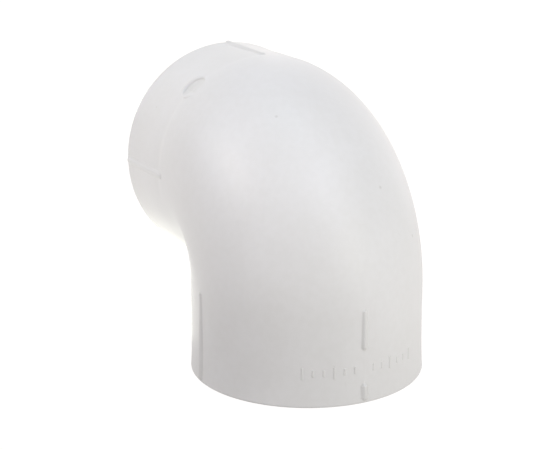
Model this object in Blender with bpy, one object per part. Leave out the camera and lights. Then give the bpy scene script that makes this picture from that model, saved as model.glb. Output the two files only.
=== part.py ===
"""A plain 90 degree socket elbow for 40 mm pipe: one white injection moulding.

Units are metres, +Z up. The elbow stands on the mouth of its lower socket, at Z = 0. Both socket axes lie in
the plane Y = 0: the lower socket's runs along Z, and the side socket's runs along X and opens towards +X.
The origin is at the bottom centre of the moulding's own box.

An angle round the tube is 0 at the heel (the outside of the turn), 90 degrees at +Y and 180 at the crotch.
A depth is measured from a mouth's end face, along the socket's axis.
"""

from math import cos, pi, radians, sin

import bmesh
import bpy
from mathutils import Vector

# Driving dimensions
LIP_RADIUS = 0.0260  # outside, at each mouth
CENTRE_TO_MOUTH = 0.0415  # from the point where the socket axes cross to an end face
SOCKET_DEPTH = 0.0205  # how far a pipe goes in before it meets the stop
MOUTH_BORE_RADIUS = 0.0197
ROOT_BORE_RADIUS = 0.01945  # the socket narrows a little towards its stop
WATERWAY_RADIUS = 0.0160
SKIN_TURN_RADIUS = 0.0225  # of the outer skin's centre line round the bend
WATERWAY_TURN_RADIUS = 0.0200

# Outer skin: the wall is drawn in slightly behind each lip
WAIST_RADIUS = 0.0257
JUNCTION_RADIUS = 0.0256
BEND_RADIUS = 0.0257
RIM_FILLET = 0.0005
CROTCH_FILLET = 0.0008
CROTCH_SHARPNESS = 34.0  # per metre: how quickly the turn tightens from the sides to the crotch
CROTCH_BLEND = 0.0020
LIP_DEPTH = 0.0030
WAIST_DEPTH = 0.0090
SHOULDER_DEPTH = 0.0140

# Inner edges
MOUTH_CHAMFER = 0.0008
STOP_CHAMFER = 0.0003

# Raised alignment bars, one at each quarter of each socket, as long as the socket is deep
BAR_TOP_RADIUS = 0.0265  # at the mouth end
BAR_FALL = 0.028  # how far a bar's top comes down, in metres for each metre of depth
BAR_ROOT_RADIUS = 0.0248  # inside the wall, so that bar and wall are one
BAR_ROOT_HALF_WIDTH = 0.0007
BAR_TOP_HALF_WIDTH = 0.00035
BAR_START = 0.0009
BAR_END_SLOPE = 0.0003
CROTCH_BAR_END = 0.0130  # the crotch leaves less room than the other quarters
HEEL_BAR_GAP = (0.0042, 0.0120)  # plain band across the lower socket's heel bar

# Round ejector mark pressed into the skin where the side socket meets the bend
MARK_HALF_LENGTH = 0.00315  # along X
MARK_HALF_HEIGHT = 0.0021  # along Z, where the skin slopes so that the mark is round on it
MARK_CENTRE = (0.0222, 0.0192)  # X and Z from the point where the axes cross
MARK_SINK = 0.0004
MARK_LIFT = 0.0060

# Mesh fineness
AROUND = 72
BEND_STEPS = 14
FILLET_STEPS = 2
MARK_SIDES = 32

# Derived places
CENTRE_X = (BAR_TOP_RADIUS - CENTRE_TO_MOUTH) / 2
CENTRE_Z = CENTRE_TO_MOUTH
SIDE_MOUTH_X = CENTRE_X + CENTRE_TO_MOUTH

PLASTIC_COLOUR = (0.80, 0.80, 0.79, 1.0)
PLASTIC_ROUGHNESS = 0.38


def clear_scene():
    for old in list(bpy.data.objects):
        bpy.data.objects.remove(old)


def plastic():
    """White moulded polypropylene."""
    material = bpy.data.materials.new("white_polypropylene")
    material.use_nodes = True
    shader = material.node_tree.nodes["Principled BSDF"]
    shader.inputs["Base Color"].default_value = PLASTIC_COLOUR
    shader.inputs["Roughness"].default_value = PLASTIC_ROUGHNESS
    shader.inputs["Metallic"].default_value = 0.0
    return material


def lower_point(angle, radius, depth):
    return Vector((CENTRE_X - radius * cos(angle), radius * sin(angle), depth))


def side_point(angle, radius, depth):
    return Vector((SIDE_MOUTH_X - depth, radius * sin(angle), CENTRE_Z + radius * cos(angle)))


def turning_radius(offset, turn_radius, sharpness):
    """Radius on which a lengthwise line turns. offset is how far it lies towards the crotch."""
    free = turn_radius - offset - sharpness * max(offset, 0.0) ** 2
    apart = ((free - CROTCH_FILLET) ** 2 + CROTCH_BLEND**2) ** 0.5
    return (free + CROTCH_FILLET + apart) / 2  # the larger of the two, with the change between them blended


def bend_point(angle, radius, turn, turn_radius, sharpness):
    """A point round the bend. Each lengthwise line turns on its own arc, and the crotch's is the tightest."""
    offset = -radius * cos(angle)
    own_radius = turning_radius(offset, turn_radius, sharpness)
    return Vector((
        CENTRE_X + offset + own_radius * (1 - cos(turn)),
        radius * sin(angle),
        CENTRE_Z - offset - own_radius * (1 - sin(turn)),
    ))


def tube_rings(leg, turn_radius, sharpness, bend_radius_at):
    """Rings from the lower mouth round to the side mouth. leg lists (depth, radius) from the mouth in."""
    angles = [2 * pi * i / AROUND for i in range(AROUND)]
    turns = [pi / 2 * i / BEND_STEPS for i in range(BEND_STEPS + 1)]
    rings = [[lower_point(a, radius, depth) for a in angles] for depth, radius in leg]
    for turn in turns:
        radius = bend_radius_at(turn)
        rings.append([bend_point(a, radius, turn, turn_radius, sharpness) for a in angles])
    rings += [[side_point(a, radius, depth) for a in angles] for depth, radius in reversed(leg)]
    return rings


def skin_bend_radius(turn):
    """The skin is a little slimmer where the bend leaves each socket than halfway round."""
    return JUNCTION_RADIUS + (BEND_RADIUS - JUNCTION_RADIUS) * sin(2 * turn)


def skin_leg():
    """Outside of one socket: rounded rim, lip, then the slightly slimmer wall behind it."""
    leg = []
    for i in range(FILLET_STEPS + 1):
        turn = pi / 2 * i / FILLET_STEPS
        leg.append((RIM_FILLET * (1 - sin(turn)), LIP_RADIUS - RIM_FILLET * (1 - cos(turn))))
    leg.sort()
    leg += [
        (LIP_DEPTH, (LIP_RADIUS + WAIST_RADIUS) / 2),
        (WAIST_DEPTH, WAIST_RADIUS),
        (SHOULDER_DEPTH, (WAIST_RADIUS + JUNCTION_RADIUS) / 2),
    ]
    return leg


def bore_leg():
    """Inside of one socket: chamfered mouth, tapering wall, flat pipe stop, waterway."""
    return [
        (0.0, MOUTH_BORE_RADIUS + MOUTH_CHAMFER),
        (MOUTH_CHAMFER, MOUTH_BORE_RADIUS),
        (SOCKET_DEPTH, ROOT_BORE_RADIUS),
        (SOCKET_DEPTH, WATERWAY_RADIUS + STOP_CHAMFER),
        (SOCKET_DEPTH + STOP_CHAMFER, WATERWAY_RADIUS),
    ]


def mesh_object(name, bm):
    bmesh.ops.recalc_face_normals(bm, faces=bm.faces)
    mesh = bpy.data.meshes.new(name)
    bm.to_mesh(mesh)
    bm.free()
    obj = bpy.data.objects.new(name, mesh)
    bpy.context.scene.collection.objects.link(obj)
    return obj


def bored_tube():
    """The moulding without its small features: skin and bore are one closed loop of rings."""
    skin = tube_rings(skin_leg(), SKIN_TURN_RADIUS, CROTCH_SHARPNESS, skin_bend_radius)
    bore = tube_rings(bore_leg(), WATERWAY_TURN_RADIUS, 0.0, lambda turn: WATERWAY_RADIUS)
    rings = skin + bore[::-1]
    bm = bmesh.new()
    loops = [[bm.verts.new(point) for point in ring] for ring in rings]
    for first, second in zip(loops, loops[1:] + loops[:1]):
        for i in range(AROUND):
            j = (i + 1) % AROUND
            bm.faces.new((first[i], first[j], second[j], second[i]))
    return mesh_object("elbow_body", bm)


def add_bar(bm, place, angle, start, end):
    """One raised bar along a socket, from start to end depth. place is lower_point or side_point."""
    corners = []
    for radius, fall, half_width, slope in (
        (BAR_ROOT_RADIUS, 0.0, BAR_ROOT_HALF_WIDTH, 0.0),
        (BAR_TOP_RADIUS, BAR_FALL, BAR_TOP_HALF_WIDTH, BAR_END_SLOPE),
    ):
        depths = (start + slope, end - slope)
        middle = [place(angle, radius - fall * (depth - BAR_START - slope), depth) for depth in depths]
        sideways = place(angle + pi / 2, half_width, 0.0) - place(angle, 0.0, 0.0)
        corners.append([
            bm.verts.new(middle[0] - sideways),
            bm.verts.new(middle[0] + sideways),
            bm.verts.new(middle[1] + sideways),
            bm.verts.new(middle[1] - sideways),
        ])
    root, top = corners
    bm.faces.new(root)
    bm.faces.new(top)
    for i in range(4):
        j = (i + 1) % 4
        bm.faces.new((root[i], root[j], top[j], top[i]))


def alignment_bars():
    bm = bmesh.new()
    for place in (lower_point, side_point):
        for quarter in range(4):
            end = CROTCH_BAR_END if quarter == 2 else SOCKET_DEPTH
            runs = [(BAR_START, end)]
            if place is lower_point and quarter == 0:
                runs = [(BAR_START, HEEL_BAR_GAP[0]), (HEEL_BAR_GAP[1], end)]
            for start, stop in runs:
                add_bar(bm, place, quarter * pi / 2, start, stop)
    return mesh_object("alignment_bars", bm)


def ejector_mark():
    """An oval pin along Y whose inner end is cut parallel to the skin, a little below it."""
    centre_x = CENTRE_X + MARK_CENTRE[0]
    centre_z = CENTRE_Z + MARK_CENTRE[1]
    skin_y = (JUNCTION_RADIUS**2 - MARK_CENTRE[1] ** 2) ** 0.5
    rise = MARK_CENTRE[1] / skin_y  # how fast the skin falls away towards the heel
    bm = bmesh.new()
    ends = []
    for lift in (-MARK_SINK, MARK_LIFT):
        ring = []
        for i in range(MARK_SIDES):
            turn = 2 * pi * i / MARK_SIDES
            x = MARK_HALF_LENGTH * cos(turn)
            z = MARK_HALF_HEIGHT * sin(turn)
            ring.append(bm.verts.new((centre_x + x, skin_y + lift - rise * z, centre_z + z)))
        ends.append(ring)
        bm.faces.new(ring)
    for i in range(MARK_SIDES):
        j = (i + 1) % MARK_SIDES
        bm.faces.new((ends[0][i], ends[0][j], ends[1][j], ends[1][i]))
    return mesh_object("ejector_mark", bm)


def combine(body, helper, operation):
    """A Boolean that stays on the body. The helper shape is left out of renders."""
    helper.hide_render = True
    helper.display_type = "WIRE"
    modifier = body.modifiers.new(helper.name, "BOOLEAN")
    modifier.operation = operation
    modifier.solver = "EXACT"
    modifier.object = helper


def build():
    clear_scene()
    body = bored_tube()
    body.data.materials.append(plastic())
    combine(body, alignment_bars(), "UNION")
    combine(body, ejector_mark(), "DIFFERENCE")
    body.data.shade_smooth()
    body.data.set_sharp_from_angle(angle=radians(30))


build()
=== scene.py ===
"""Looks of a plain 90 degree socket elbow for 40 mm pipe: one white injection moulding on a pale floor.

The CAD node is replaced by a finer mesh of the same moulding, with its bars, marks and rounded edges in the
surface itself. Mesh lengths are in millimetres until the mesh is made, and scene lengths are in metres.

An angle round the tube is 0 at the heel (the outside of the turn), 90 degrees at +Y and 180 at the crotch.
"""

import math

import bpy
import numpy as np
from mathutils import Matrix, Vector


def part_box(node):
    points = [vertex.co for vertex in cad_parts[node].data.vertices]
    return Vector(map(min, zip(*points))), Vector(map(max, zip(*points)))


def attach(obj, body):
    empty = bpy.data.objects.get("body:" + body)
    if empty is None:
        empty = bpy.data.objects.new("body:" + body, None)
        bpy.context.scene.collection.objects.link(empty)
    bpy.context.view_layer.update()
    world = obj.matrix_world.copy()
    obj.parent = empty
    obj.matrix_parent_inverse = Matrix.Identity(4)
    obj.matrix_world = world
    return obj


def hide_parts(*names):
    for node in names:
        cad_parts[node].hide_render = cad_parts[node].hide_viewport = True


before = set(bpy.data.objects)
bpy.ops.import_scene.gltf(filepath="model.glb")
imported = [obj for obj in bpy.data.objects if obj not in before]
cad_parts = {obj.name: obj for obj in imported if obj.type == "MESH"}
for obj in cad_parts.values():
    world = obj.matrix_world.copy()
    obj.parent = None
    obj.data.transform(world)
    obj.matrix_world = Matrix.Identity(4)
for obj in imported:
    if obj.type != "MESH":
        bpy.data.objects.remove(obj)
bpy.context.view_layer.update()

MM = 0.001

# The moulding, as in the CAD
NODE = "elbow_body"
REACH = 41.5  # from the point where the axes cross to a mouth
SOCKET_DEPTH = 20.5
TURN_RADIUS = 22.5
CROTCH_FILLET = 0.8
CROTCH_SHARPNESS = 0.034
CROTCH_BLEND = 2.0
WATERWAY_TURN_RADIUS = 20.0
WATERWAY_RADIUS = 16.0
MOUTH_BORE = 19.7
ROOT_BORE = 19.45
MOUTH_CHAMFER = 0.8
STOP_CHAMFER = 0.3

# Outer skin: a lip that fades into the wall behind it
WALL_RADIUS = 25.625
LIP_RISE = 0.375
LIP_FADE = 4.6
RIM_FILLET = 0.5
BEND_SWELL = 0.075
SWELL_SCALE = 6.75  # makes the largest swelling equal BEND_SWELL

# Raised bars
BAR_TOP = 26.5
BAR_FALL = 0.028  # each millimetre into the socket lowers a bar's top by this much
BAR_HALF_WIDTH = 0.26
BAR_SLOPE = 0.85
BAR_ROUND = 0.10
BAR_FOOT = 0.08
BAR_START = 0.9
BAR_END_ROUND = 0.25  # how far short of its end a bar's top starts to fall
BAR_REACH = 1.5  # a flank this far under the skin is left out
CROTCH_BAR_END = 13.0
HEEL_BAR_GAP = (4.2, 12.0)

# Plain raised ticks round the heel, in the gap of its bar
TICK_DEPTH = 7.6
TICK_RISE = 0.14
TICK_HALF_WIDTH = 0.20
TICK_EDGE = 0.12
TICK_STEP = 5
TICK_COUNT = 6  # on each side of the bar
TICK_LONG = 1.3  # half a length, for every third tick
TICK_SHORT = 0.7
TICK_PLACES = [i for i in range(-TICK_COUNT, TICK_COUNT + 1) if i]

# Round ejector mark on the side socket, and the faint crease beside it
MARK_X = 22.2  # from the lower socket's axis
MARK_ANGLE = 41.3  # degrees round the tube
MARK_RADIUS = 3.15
MARK_EDGE = 0.18
MARK_DEEP = 0.30
MARK_TILT = 0.5  # its mouth side is deeper by this share, and its bend side shallower
MARK_PROUD = 0.75  # slope of its lower end, per radius
MARK_PROUD_FROM = 0.3
MARK_LIP = 0.13  # how far its rim stands up on the mouth side
MARK_LIP_AT = 1.22
MARK_LIP_WIDE = 0.20
MARK_LIP_LEAN = 0.6  # the rim fades towards the lower end
CREASE_DEEP = 0.15
CREASE_DEPTH = 18.2  # from the mouth, past the mark; it lies CREASE_STEP deeper near the heel
CREASE_STEP = 2.0
CREASE_TO_MOUTH = 2.4
CREASE_TO_BEND = 1.2
CREASE_TURNS = (35.0, 105.0)  # degrees from the heel where it steps nearer the mouth, and where it fades out
CREASE_TURN_WIDE = 40.0

# Mould parting line, along the heel and the crotch
PARTING_RISE = 0.008
PARTING_WIDE = 0.10

low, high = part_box(NODE)
CENTRE_X = high[0] / MM - REACH
CENTRE_Z = low[2] / MM + REACH
SIDE_X = high[0] / MM
FLOOR_Z = low[2] / MM


def soft_max(a, b, blend):
    return (a + b + np.sqrt((a - b) ** 2 + blend**2)) / 2


def soft_plus(x, blend):
    return soft_max(x, 0.0, blend)


def smooth_step(x, edge):
    """1 well below 0, 0 well above it, with the change edge wide."""
    t = np.clip(0.5 - x / edge, 0.0, 1.0)
    return t * t * (3 - 2 * t)


def turn_from(a, centre):
    """Signed angle from centre to a, in radians."""
    return (a - centre + math.pi) % (2 * math.pi) - math.pi


# ---- the outer skin ----


def leg_radius(depth):
    full = WALL_RADIUS + LIP_RISE * np.exp(-np.maximum(depth - RIM_FILLET, 0.0) / LIP_FADE)
    lost = np.clip((RIM_FILLET - depth) / RIM_FILLET, 0.0, 1.0)
    return full - RIM_FILLET * (1 - np.sqrt(1 - lost**2))


def bend_radius(turn):
    """Slightly swollen towards the side socket, and smooth where it leaves the lower one."""
    part = turn / (math.pi / 2)
    return WALL_RADIUS + BEND_SWELL * SWELL_SCALE * part**2 * (1 - part)


def own_radius(offset, turn_radius, sharpness):
    free = turn_radius - offset - sharpness * np.maximum(offset, 0.0) ** 2
    return soft_max(free, CROTCH_FILLET, CROTCH_BLEND)


def place(kind, value, angles, radius, turn_radius=TURN_RADIUS, sharpness=CROTCH_SHARPNESS):
    """Points of one ring. kind is lower, bend or side, and value a depth, a turn or a depth."""
    across = radius * np.sin(angles)
    offset = -radius * np.cos(angles)
    if kind == "lower":
        return np.stack([CENTRE_X + offset, across, FLOOR_Z + value + 0 * angles], -1)
    if kind == "side":
        return np.stack([SIDE_X - value + 0 * angles, across, CENTRE_Z - offset], -1)
    own = own_radius(offset, turn_radius, sharpness)
    x = CENTRE_X + offset + own * (1 - np.cos(value))
    z = CENTRE_Z - offset - own * (1 - np.sin(value))
    return np.stack([x, across, z], -1)


def along(kind, value, angles):
    """Distance of each point of a ring from the nearer mouth, measured along the skin."""
    if kind != "bend":
        return value + 0 * angles
    offset = -WALL_RADIUS * np.cos(angles)
    own = own_radius(offset, TURN_RADIUS, CROTCH_SHARPNESS)
    return REACH - offset - own + own * min(value, math.pi / 2 - value)


def bar_runs(leg, quarter):
    """(start, end) depths of each bar at one quarter of a socket."""
    end = CROTCH_BAR_END if quarter == 2 else SOCKET_DEPTH
    if leg == "lower" and quarter == 0:
        return [(BAR_START, HEEL_BAR_GAP[0]), (HEEL_BAR_GAP[1], end)]
    return [(BAR_START, end)]


def with_bars(radius, leg, away, angles):
    """radius with the bars standing out of it, blended at their feet."""
    for quarter in range(4):
        side = np.abs(turn_from(angles, quarter * math.pi / 2)) * WALL_RADIUS
        flank = BAR_SLOPE * soft_plus(side - BAR_HALF_WIDTH, BAR_ROUND)
        for start, end in bar_runs(leg, quarter):
            past = np.maximum(start - away, away - end)
            stop = BAR_SLOPE * soft_plus(past + BAR_END_ROUND, BAR_ROUND)
            top = BAR_TOP - BAR_FALL * (away - BAR_START) - flank - stop
            near = top > radius - BAR_REACH
            radius = np.where(near, soft_max(radius, top, BAR_FOOT), radius)
    return radius


def tick_rise(leg, away, angles):
    rise = 0 * angles
    if leg != "lower":
        return rise
    for i in TICK_PLACES:
        half = TICK_LONG if i % 3 == 0 else TICK_SHORT
        side = np.abs(turn_from(angles, math.radians(i * TICK_STEP))) * WALL_RADIUS
        past = np.abs(away - TICK_DEPTH)
        rise = np.maximum(
            rise, smooth_step(side - TICK_HALF_WIDTH, TICK_EDGE) * smooth_step(past - half, TICK_EDGE)
        )
    return TICK_RISE * rise


def mark_rise(points, angles):
    """The ejector mark, a sunk disc. Its lower end and the rim round its mouth side stand a little proud.

    to_mouth, down and out are measured over the skin from its centre, with its radius as 1.
    """
    to_mouth = (points[:, 0] - CENTRE_X - MARK_X) / MARK_RADIUS
    down = turn_from(angles, math.radians(MARK_ANGLE)) * WALL_RADIUS / MARK_RADIUS
    out = np.hypot(to_mouth, down)
    floor = -MARK_DEEP * (1 + MARK_TILT * np.clip(to_mouth, -1.0, 1.0))
    floor += MARK_PROUD * np.clip(down - MARK_PROUD_FROM, 0.0, 1.0)
    lip = MARK_LIP * np.exp(-(((out - MARK_LIP_AT) / MARK_LIP_WIDE) ** 2))
    rim = lip * np.clip(to_mouth - MARK_LIP_LEAN * down, 0.0, 1.0)
    return smooth_step((out - 1) * MARK_RADIUS, MARK_EDGE) * floor + rim


def crease_rise(leg, away, angles):
    if leg != "side":
        return 0 * angles
    from_heel = np.abs(np.degrees(turn_from(angles, 0.0)))
    centre = CREASE_DEPTH + CREASE_STEP * smooth_step(from_heel - CREASE_TURNS[0], CREASE_TURN_WIDE)
    fade = smooth_step(from_heel - CREASE_TURNS[1], CREASE_TURN_WIDE)
    wide = np.where(away < centre, CREASE_TO_MOUTH, CREASE_TO_BEND)
    return -CREASE_DEEP * fade * np.exp(-(((away - centre) / wide) ** 2))


def parting_rise(angles):
    off = np.minimum(np.abs(turn_from(angles, 0.0)), np.abs(turn_from(angles, math.pi))) * WALL_RADIUS
    return PARTING_RISE * np.exp(-((off / PARTING_WIDE) ** 2))


def skin_ring(kind, value, angles):
    """One finished ring of the skin, and how much each point stands out of the plain wall."""
    away = along(kind, value, angles)
    if kind == "bend":
        leg = "lower" if value < math.pi / 4 else "side"
        plain = bend_radius(value) + 0 * angles
    else:
        leg = kind
        plain = leg_radius(value) + 0 * angles
    radius = plain + tick_rise(leg, away, angles) + crease_rise(leg, away, angles)
    if kind == "bend" or np.min(value) > BAR_START:
        radius = radius + parting_rise(angles)
    if leg == "side" and (kind == "bend" or np.min(value) > LEG_END):
        radius = radius + mark_rise(place(kind, value, angles, radius), angles)
    if kind == "bend" or np.min(value) >= RIM_FILLET:
        radius = with_bars(radius, leg, away, angles)
    return place(kind, value, angles, radius), radius - plain


# ---- where the mesh is fine ----


CLOSEST_COLUMNS = 0.04


def columns(step, fine):
    """Angles round the tube: every step degrees, and closer inside each (from, to, step) of fine.

    A stretch may start below 0. The result is in radians.
    """
    found = set(np.round(np.arange(0, 360, step), 4))
    for start, end, by in fine:
        found = {a for a in found if not start <= (a if a < end + 1 or start >= 0 else a - 360) <= end}
        found |= set(np.round(np.arange(start, end + by / 2, by) % 360, 4))
    kept = []
    for a in sorted(found):
        if not kept or a - kept[-1] > CLOSEST_COLUMNS:
            kept.append(a)
    return np.radians(kept)


def stations(*runs):
    """Places along the tube, from (from, to, step) runs laid end to end."""
    found = []
    for start, end, step in runs:
        count = max(1, int(round((end - start) / step)))
        found += [start + (end - start) * i / count for i in range(count)]
    return found


BAR_COLUMNS = [(q - 3.0, q + 3.0, 0.25) for q in (0, 90, 180, 270)]
TICK_COLUMNS = [(i * TICK_STEP - 1.0, i * TICK_STEP + 1.0, 0.2) for i in TICK_PLACES]
MARK_COLUMNS = [(32.5, 50.5, 0.25)]
PARTING_COLUMNS = [(-0.6, 0.6, 0.1), (179.4, 180.6, 0.1)]

LEG_END = 13.9  # depth to which the rings stay flat, short of the bend all the way round
RIM_DEPTHS = [RIM_FILLET * (1 - math.sin(math.radians(a))) for a in range(90, 0, -15)]


def leg_depths(last):
    """Depths from a mouth to where the bend starts."""
    return RIM_DEPTHS + stations((0.5, 0.7, 0.1), (0.7, 1.5, 0.09), (1.5, last, 0.5))


def towards_bend(share, angles):
    """Depths of a ring that lies share of the way from the last flat ring to the start of the bend."""
    offset = -WALL_RADIUS * np.cos(angles)
    bend_depth = REACH - offset - own_radius(offset, TURN_RADIUS, CROTCH_SHARPNESS)
    return LEG_END + share * (bend_depth - LEG_END)


def lower_depths():
    return RIM_DEPTHS + stations(
        (0.5, 0.7, 0.1), (0.7, 1.5, 0.09), (1.5, 3.8, 0.5), (3.8, 4.6, 0.09), (4.6, 6.2, 0.4),
        (6.2, 6.5, 0.06), (6.5, 6.8, 0.1), (6.8, 7.05, 0.06), (7.05, 8.15, 0.3), (8.15, 8.4, 0.06),
        (8.4, 8.75, 0.1), (8.75, 9.05, 0.06), (9.05, 11.6, 0.5), (11.6, 12.4, 0.09), (12.4, LEG_END, 0.5),
    )


def skin_zones():
    """(columns, [(kind, value)]) for each stretch of the skin, from the lower mouth to the side mouth."""
    quarter = math.pi / 2
    lower = [("lower", s) for s in lower_depths()]
    lower += [("bend", t) for t in stations((0.0, 0.02, 0.005), (0.02, 0.09, 0.003))]
    middle = [("bend", t) for t in stations((0.09, quarter - 0.10, 0.03))]
    side = [("bend", quarter - t) for t in reversed(stations((0.0, 0.090, 0.0026), (0.090, 0.10, 0.005)))]
    side_columns = columns(2.5, MARK_COLUMNS + BAR_COLUMNS)
    shares = reversed(stations((0.0, 0.2, 0.1), (0.2, 1.0, 0.021)))
    side += [("side", towards_bend(share, side_columns)) for share in shares]
    side += [("side", s) for s in reversed(leg_depths(LEG_END))]
    return [
        (columns(2.5, TICK_COLUMNS + BAR_COLUMNS), lower),
        (columns(2.0, PARTING_COLUMNS), middle),
        (side_columns, side),
    ]


def fillet(corner, before, after, radius, count=4):
    """Rounds a corner of a (depth, radius) outline towards its two neighbours."""
    corner, before, after = (np.array(p, float) for p in (corner, before, after))
    first = corner + (before - corner) / np.linalg.norm(before - corner) * radius
    last = corner + (after - corner) / np.linalg.norm(after - corner) * radius
    steps = np.linspace(0, 1, count + 1)
    return [tuple((1 - t) ** 2 * first + 2 * t * (1 - t) * corner + t**2 * last) for t in steps]


def rounded(outline, radii):
    out = [outline[0]]
    for i in range(1, len(outline) - 1):
        if radii[i]:
            out += fillet(outline[i], outline[i - 1], outline[i + 1], radii[i])
        else:
            out.append(outline[i])
    return out + [outline[-1]]


def spread(outline, longest):
    """Adds points so that no step is long, and one close beside each corner so that shading stays crisp."""
    out = [outline[0]]
    for first, last in zip(outline, outline[1:]):
        length = math.dist(first, last)
        shares = [i / max(1, math.ceil(length / longest)) for i in range(1, math.ceil(length / longest))]
        if length > 0.5:
            shares = sorted({0.06 / length, 1 - 0.06 / length, *shares})
        out += [tuple(np.array(first) + (np.array(last) - np.array(first)) * t) for t in shares] + [last]
    return out


def bore_leg():
    """Outline of the end face and the bore of a socket, from the rim inwards, as (depth, radius)."""
    rim = float(leg_radius(0.0))
    outline = [
        (0.0, rim),
        (0.0, MOUTH_BORE + MOUTH_CHAMFER),
        (MOUTH_CHAMFER, MOUTH_BORE),
        (SOCKET_DEPTH, ROOT_BORE),
        (SOCKET_DEPTH, WATERWAY_RADIUS + STOP_CHAMFER),
        (SOCKET_DEPTH + STOP_CHAMFER, WATERWAY_RADIUS),
        (SOCKET_DEPTH + 0.9, WATERWAY_RADIUS),
    ]
    return spread(rounded(outline, [0, 0.15, 0.3, 0.25, 0.1, 0.15, 0]), 2.0)


def bore_rings(angles):
    leg = bore_leg()[1:]
    rings = [place("side", s, angles, r) for s, r in leg]
    turns = np.linspace(math.pi / 2, 0, 37)
    rings += [place("bend", t, angles, WATERWAY_RADIUS, WATERWAY_TURN_RADIUS, 0.0) for t in turns]
    rings += [place("lower", s, angles, r) for s, r in reversed(leg)]
    return rings


# ---- putting the rings together ----


def join_rings(first, first_angles, second, second_angles):
    """Faces between two rings of vertex numbers: quads where their columns agree, and triangles elsewhere."""
    if len(first) == len(second):
        return [(first[i], first[i - 1], second[i - 1], second[i]) for i in range(len(first))]
    faces = []
    i = j = 0
    a = np.append(first_angles, 2 * math.pi)
    b = np.append(second_angles, 2 * math.pi)
    while i < len(first) or j < len(second):
        here, there = first[i % len(first)], second[j % len(second)]
        if j >= len(second) or (i < len(first) and a[i + 1] <= b[j + 1]):
            i += 1
            faces.append((first[i % len(first)], here, there))
        else:
            j += 1
            faces.append((second[j % len(second)], here, there))
    return faces


def moulding():
    """The whole elbow as one closed mesh."""
    rings = []
    for angles, places in skin_zones():
        rings += [(angles, *skin_ring(kind, value, angles)) for kind, value in places]
    inner = columns(3.0, [])
    rings += [(inner, points, np.zeros(len(inner))) for points in bore_rings(inner)]
    numbers = []
    count = 0
    for angles, points, _ in rings:
        numbers.append(list(range(count, count + len(points))))
        count += len(points)
    faces = []
    for k in range(len(rings)):
        nxt = (k + 1) % len(rings)
        faces += join_rings(numbers[k], rings[k][0], numbers[nxt], rings[nxt][0])
    vertices = np.concatenate([points for _, points, _ in rings]) * MM
    mesh = bpy.data.meshes.new("elbow_moulding")
    mesh.from_pydata(vertices.tolist(), [], faces)
    mesh.validate()
    relief = mesh.attributes.new("relief", "FLOAT", "POINT")
    relief.data.foreach_set("value", np.concatenate([rise for _, _, rise in rings]).astype(np.float32))
    mesh.shade_smooth()
    obj = bpy.data.objects.new("elbow_moulding", mesh)
    bpy.context.scene.collection.objects.link(obj)
    return obj


# ---- the plastic ----

PLASTIC_PALE = (0.705, 0.698, 0.702, 1)
PLASTIC_DEEP = (0.672, 0.664, 0.662, 1)
SPECK_TINT = (0.40, 0.38, 0.35, 1)
# grey towards which the painted shade at feet and in sunk places, and the darker raised tops, are mixed
DARKENING_TINT = (0.60, 0.59, 0.57, 1)
FOOT_SHADE = 0.30  # share of painted shade at the feet of bars and ticks
# how much darker the tops of raised bars and ticks are made
RAISED_DARKENING = 0.22
# share of painted shade in sunk places, most in the ejector mark's floor
SUNK_SHADE = 0.40
SPECK_SHARE = 0.35
CELL_SPECK_SHARE = 0.30
CELL_SIZE = 9 * MM
ROUGH_LOW = 0.40
ROUGH_HIGH = 0.48
ROUGH_WORN = 0.38
GRAIN_HEIGHT = 0.006 * MM
PEEL_HEIGHT = 0.020 * MM
SCUFF_HEIGHT = 0.010 * MM
SPECKS = [(-17.3, -8.1, 2.1), (-18.0, -15.9, -9.2), (-3.3, 9.0, 16.2)]  # from the point where the axes cross


class Finish:
    """A material's node tree, with short calls that add one node each."""

    def __init__(self, name):
        self.material = bpy.data.materials.new(name)
        self.material.use_nodes = True
        self.tree = self.material.node_tree
        self.shader = self.tree.nodes["Principled BSDF"]

    def link(self, source, target):
        self.tree.links.new(source, target)

    def node(self, kind, **settings):
        made = self.tree.nodes.new(kind)
        for key, value in settings.items():
            setattr(made, key, value)
        return made

    def put(self, made, socket, value):
        """Sets a socket to a number, or links it to another node's output."""
        if isinstance(value, bpy.types.NodeSocket):
            self.link(value, made.inputs[socket])
        else:
            made.inputs[socket].default_value = value

    def math(self, operation, a, b=0.0):
        made = self.node("ShaderNodeMath", operation=operation)
        self.put(made, 0, a)
        self.put(made, 1, b)
        return made.outputs[0]

    def noise(self, where, size, detail, roughness=0.5):
        """Noise whose features are about size metres across."""
        made = self.node("ShaderNodeTexNoise")
        self.link(where, made.inputs["Vector"])
        made.inputs["Scale"].default_value = 1 / size
        made.inputs["Detail"].default_value = detail
        made.inputs["Roughness"].default_value = roughness
        return made.outputs["Fac"]

    def ramp(self, value, low, high, to_low=0.0, to_high=1.0):
        """A smooth change from to_low to to_high as value goes from low to high."""
        made = self.node("ShaderNodeMapRange", interpolation_type="SMOOTHSTEP")
        self.link(value, made.inputs["Value"])
        for socket, number in zip(("From Min", "From Max", "To Min", "To Max"), (low, high, to_low, to_high)):
            made.inputs[socket].default_value = number
        return made.outputs["Result"]

    def mix(self, share, a, b):
        made = self.node("ShaderNodeMix", data_type="RGBA")
        self.link(share, made.inputs["Factor"])
        self.put(made, 6, a)
        self.put(made, 7, b)
        return made.outputs[2]

    def bump(self, height, depth, onto=None):
        made = self.node("ShaderNodeBump")
        made.inputs["Distance"].default_value = depth
        self.link(height, made.inputs["Height"])
        if onto:
            self.link(onto, made.inputs["Normal"])
        return made.outputs["Normal"]


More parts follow.
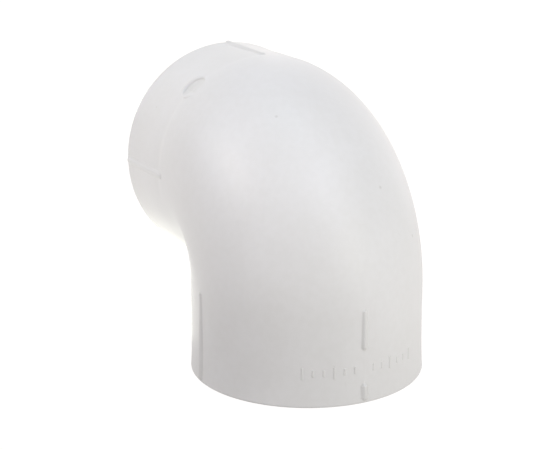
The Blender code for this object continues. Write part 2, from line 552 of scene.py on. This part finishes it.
def random_specks(finish, where):
    """Soft dots in the middle of a few cells, for the specks moulded into the plastic."""
    cells = finish.node("ShaderNodeTexVoronoi")
    finish.link(where, cells.inputs["Vector"])
    cells.inputs["Scale"].default_value = 1 / CELL_SIZE
    chance = finish.node("ShaderNodeSeparateColor")
    finish.link(cells.outputs["Color"], chance.inputs["Color"])
    spot = finish.ramp(cells.outputs["Distance"], 0.008, 0.034, CELL_SPECK_SHARE, 0.0)
    return finish.math("MULTIPLY", spot, finish.ramp(chance.outputs["Red"], 0.70, 0.72))


def speck_at(finish, where, spot):
    """A soft dot at one place."""
    gap = finish.node("ShaderNodeVectorMath", operation="DISTANCE")
    finish.link(where, gap.inputs[0])
    gap.inputs[1].default_value = spot
    return finish.ramp(gap.outputs["Value"], 0.10 * MM, 0.50 * MM, SPECK_SHARE, 0.0)


def scuffs(finish, where):
    """Thin, short scratches: a noise stretched along one direction, kept only where it is highest."""
    turn = finish.node("ShaderNodeMapping")
    finish.link(where, turn.inputs["Vector"])
    turn.inputs["Rotation"].default_value = (0.5, 0.9, 0.3)
    turn.inputs["Scale"].default_value = (1.0, 0.07, 0.07)
    lines = finish.noise(turn.outputs["Vector"], 0.35 * MM, 1.0)
    patches = finish.ramp(finish.noise(where, 9 * MM, 1.0), 0.52, 0.66)
    return finish.math("MULTIPLY", finish.ramp(lines, 0.66, 0.74), patches)


def plastic_finish():
    """White moulded plastic: satin, faintly mottled and polished on raised edges, with raised tops a little
    darker and painted shade at their feet and in sunk places.
    """
    finish = Finish("white_plastic_finish")
    place_now = finish.node("ShaderNodeTexCoord").outputs["Object"]
    relief = finish.node("ShaderNodeAttribute", attribute_name="relief").outputs["Fac"]
    cloud = finish.noise(place_now, 22 * MM, 2.0)
    mottle = finish.noise(place_now, 1.6 * MM, 2.0)
    grain = finish.noise(place_now, 0.28 * MM, 3.0, 0.6)
    marks = scuffs(finish, place_now)
    raised = finish.ramp(relief, 0.45, 0.75)
    # painted shade: a darker line at the feet of bars and ticks, where their flanks meet the wall
    foot_shade = finish.math("MULTIPLY", finish.ramp(relief, 0.02, 0.08), finish.ramp(relief, 0.10, 0.35, 1.0, 0.0))
    # raised tops are made a little darker
    on_top = finish.ramp(relief, 0.10, 0.30, 0.0, RAISED_DARKENING)
    shade_and_top_darkening = finish.math("ADD", finish.math("MULTIPLY", foot_shade, FOOT_SHADE), on_top)

    wide_tone = finish.ramp(cloud, 0.35, 0.65, 0.0, 0.6)
    fine_tone = finish.ramp(mottle, 0.3, 0.7, 0.0, 0.4)
    tone = finish.math("ADD", wide_tone, fine_tone)
    colour = finish.mix(tone, PLASTIC_DEEP, PLASTIC_PALE)
    # painted shade at the feet of bars and ticks, and darker raised tops
    colour = finish.mix(shade_and_top_darkening, colour, DARKENING_TINT)
    # painted shade: sunk places, the ejector mark's floor most, are mixed towards the darker grey
    colour = finish.mix(finish.ramp(relief, -0.30, -0.13, SUNK_SHADE, 0.0), colour, DARKENING_TINT)
    specks = random_specks(finish, place_now)
    for x, y, z in SPECKS:
        spot = ((CENTRE_X + x) * MM, y * MM, (CENTRE_Z + z) * MM)
        specks = finish.math("MAXIMUM", specks, speck_at(finish, place_now, spot))
    colour = finish.mix(specks, colour, SPECK_TINT)
    finish.link(colour, finish.shader.inputs["Base Color"])

    rough = finish.ramp(mottle, 0.3, 0.7, ROUGH_LOW, ROUGH_HIGH)
    rough = finish.math("ADD", rough, finish.ramp(cloud, 0.3, 0.7, -0.02, 0.02))
    rough = finish.math("SUBTRACT", rough, finish.math("MULTIPLY", raised, ROUGH_HIGH - ROUGH_WORN))
    rough = finish.math("ADD", rough, finish.math("MULTIPLY", marks, 0.12))
    finish.link(rough, finish.shader.inputs["Roughness"])

    normal = finish.bump(finish.noise(place_now, 3.2 * MM, 1.0), PEEL_HEIGHT)
    normal = finish.bump(grain, GRAIN_HEIGHT, normal)
    normal = finish.bump(finish.math("MULTIPLY", marks, -1.0), SCUFF_HEIGHT, normal)
    finish.link(normal, finish.shader.inputs["Normal"])
    finish.shader.inputs["IOR"].default_value = 1.49
    return finish.material


elbow = moulding()
elbow.data.materials.append(plastic_finish())
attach(elbow, "root")
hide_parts(NODE)


# ---- stage, camera and light ----

VIEW_AZIMUTH = -116.5536
VIEW_ELEVATION = 15.684
VIEW_ROLL = -0.2366
VIEW_DISTANCE = 0.27883
VIEW_SHIFT = (0.006918, 0.008952)  # from the picture's middle to the axes' crossing point, right and up
LENS = 83.905
SENSOR = 36.0


def add_camera():
    a = math.radians(VIEW_AZIMUTH)
    e = math.radians(VIEW_ELEVATION)
    roll = math.radians(VIEW_ROLL)
    back = Vector((math.sin(a) * math.cos(e), -math.cos(a) * math.cos(e), math.sin(e)))
    right = (-back).cross(Vector((0, 0, 1))).normalized()
    up = right.cross(-back)
    right, up = (
        math.cos(roll) * right + math.sin(roll) * up,
        -math.sin(roll) * right + math.cos(roll) * up,
    )
    centre = Vector((CENTRE_X, 0, CENTRE_Z)) * MM
    spot = centre + back * VIEW_DISTANCE - right * VIEW_SHIFT[0] - up * VIEW_SHIFT[1]
    data = bpy.data.cameras.new("camera")
    data.sensor_width = SENSOR
    data.lens = LENS
    data.clip_start = 0.01
    camera = bpy.data.objects.new("camera", data)
    turn = Matrix((right, up, back)).transposed().to_4x4()
    camera.matrix_world = Matrix.Translation(spot) @ turn
    bpy.context.scene.collection.objects.link(camera)
    bpy.context.scene.camera = camera


def heading(to_left, elevation):
    """Direction from the elbow, to_left degrees to the camera's left as seen from above."""
    a = math.radians(VIEW_AZIMUTH - to_left)
    e = math.radians(elevation)
    return Vector((math.sin(a) * math.cos(e), -math.cos(a) * math.cos(e), math.sin(e)))


FLOOR_TINT = (1.0, 0.985, 0.975, 1)
FLOOR_SIZE = 8.0
FLOOR_GAP = 0.00003  # keeps the floor and the mouth's face from touching
CARD_GAP = 0.000015


def add_floor():
    """A white floor that gives off its own light, so that it stays white under soft lamps."""
    bpy.ops.mesh.primitive_plane_add(size=FLOOR_SIZE, location=(0, 0, FLOOR_Z * MM - FLOOR_GAP))
    floor = bpy.context.object
    floor.name = "floor"
    material = bpy.data.materials.new("floor_white")
    material.use_nodes = True
    surface = material.node_tree.nodes["Principled BSDF"]
    surface.inputs["Base Color"].default_value = (0.08, 0.08, 0.08, 1)
    surface.inputs["Roughness"].default_value = 1.0
    surface.inputs["Specular IOR Level"].default_value = 0.0
    surface.inputs["Emission Color"].default_value = FLOOR_TINT
    surface.inputs["Emission Strength"].default_value = 1.0
    floor.data.materials.append(material)


CARD_SPOT = (38, 0.075)  # degrees to the camera's left, and distance from the lower socket's axis
CARD_RADIUS = 0.125
CARD_DARKEST = 0.42


def add_shade_card():
    """A card on the floor at the camera's left, as bright as the floor at its edge and grey in the middle.

    The camera doesn't see it. It only takes light away from the elbow's lower left.
    """
    spot = Vector((CENTRE_X, 0, FLOOR_Z)) * MM + heading(CARD_SPOT[0], 0) * CARD_SPOT[1]
    spot.z -= CARD_GAP
    bpy.ops.mesh.primitive_circle_add(vertices=96, radius=CARD_RADIUS, fill_type="NGON", location=spot)
    card = bpy.context.object
    card.name = "shade_card"
    card.visible_camera = False
    grey = Finish("card_grey")
    scaled = grey.node("ShaderNodeMapping")
    grey.link(grey.node("ShaderNodeTexCoord").outputs["Object"], scaled.inputs["Vector"])
    scaled.inputs["Scale"].default_value = (1 / CARD_RADIUS,) * 3
    middle = grey.node("ShaderNodeTexGradient", gradient_type="SPHERICAL")
    grey.link(scaled.outputs["Vector"], middle.inputs["Vector"])
    glow = grey.ramp(middle.outputs["Fac"], 0, 1, 1.0, CARD_DARKEST)
    grey.link(glow, grey.shader.inputs["Emission Strength"])
    grey.shader.inputs["Emission Color"].default_value = FLOOR_TINT
    grey.shader.inputs["Base Color"].default_value = (0.03, 0.03, 0.03, 1)
    grey.shader.inputs["Specular IOR Level"].default_value = 0.0
    card.data.materials.append(grey.material)


WORLD_TINT = (1.0, 0.985, 0.98, 1)
WORLD_STRENGTH = 0.44

WALL_DISTANCE = 3.9
WALL_HEIGHT = 4.0
WALL_SINK = 0.001


def add_wall():
    """A round white wall behind the floor. Only the camera sees it, so it adds no light."""
    middle = FLOOR_Z * MM + WALL_HEIGHT / 2 - WALL_SINK
    bpy.ops.mesh.primitive_cylinder_add(
        vertices=96, radius=WALL_DISTANCE, depth=WALL_HEIGHT, end_fill_type="NOTHING", location=(0, 0, middle)
    )
    wall = bpy.context.object
    wall.name = "wall"
    wall.visible_diffuse = False
    wall.visible_glossy = False
    wall.visible_transmission = False
    wall.visible_shadow = False
    material = bpy.data.materials.new("wall_white")
    material.use_nodes = True
    surface = material.node_tree.nodes["Principled BSDF"]
    surface.inputs["Base Color"].default_value = (0, 0, 0, 1)
    surface.inputs["Specular IOR Level"].default_value = 0.0
    surface.inputs["Emission Color"].default_value = (1, 1, 1, 1)
    surface.inputs["Emission Strength"].default_value = 1.0
    wall.data.materials.append(material)


def add_panel(name, spot, facing, size, power, colour):
    """A soft light panel that the camera doesn't see. facing points from what it lights to the panel."""
    data = bpy.data.lights.new(name, "AREA")
    data.shape = "SQUARE"
    data.size = size
    data.energy = power
    data.color = colour
    light = bpy.data.objects.new(name, data)
    light.location = spot
    light.rotation_euler = Vector(facing).to_track_quat("Z", "Y").to_euler()
    light.visible_camera = False
    bpy.context.scene.collection.objects.link(light)


# Each panel: name, degrees to the camera's left, elevation, distance, size, watts, colour
PANELS = [
    ("key_panel", 73, 34, 0.32, 0.05, 0.25, (1.0, 0.90, 0.84)),
    ("left_panel", 90, 35, 0.32, 0.14, 0.095, (0.70, 0.87, 1.0)),
    ("right_high_panel", 330, 50, 0.32, 0.14, 0.30, (0.84, 0.86, 1.0)),
    ("right_low_panel", 315, 12, 0.32, 0.14, 0.24, (1.0, 0.99, 0.83)),
    ("top_panel", 0, 90, 1.2, 0.60, 2.5, (0.73, 0.90, 1.0)),
    ("back_left_panel", 155, 15, 0.80, 0.80, 1.5, (1.0, 0.96, 0.88)),
    ("back_right_panel", 205, 15, 0.80, 0.80, 2.0, (1.0, 0.93, 0.88)),
]

# A small panel that lies on the floor under the side socket and shines up
GLOW_SPOT = (140, 0.055)  # degrees to the camera's left, and distance from the lower socket's axis
GLOW_LIFT = 0.5 * MM
GLOW_SIZE = 0.055
GLOW_POWER = 0.0126
GLOW_COLOUR = (0.99, 1.0, 0.87)


def add_lights():
    centre = Vector((CENTRE_X, 0, CENTRE_Z)) * MM
    for name, to_left, elevation, distance, size, power, colour in PANELS:
        towards = heading(to_left, elevation)
        add_panel(name, centre + towards * distance, towards, size, power, colour)
    spot = Vector((CENTRE_X, 0, FLOOR_Z)) * MM + heading(GLOW_SPOT[0], 0) * GLOW_SPOT[1]
    spot.z += GLOW_LIFT
    add_panel("floor_glow", spot, (0, 0, -1), GLOW_SIZE, GLOW_POWER, GLOW_COLOUR)


add_camera()
add_floor()
add_wall()
add_shade_card()
add_lights()

world = bpy.data.worlds.new("studio")
world.use_nodes = True
world.node_tree.nodes["Background"].inputs["Color"].default_value = WORLD_TINT
world.node_tree.nodes["Background"].inputs["Strength"].default_value = WORLD_STRENGTH
bpy.context.scene.world = world
bpy.context.scene.view_settings.view_transform = "Standard"
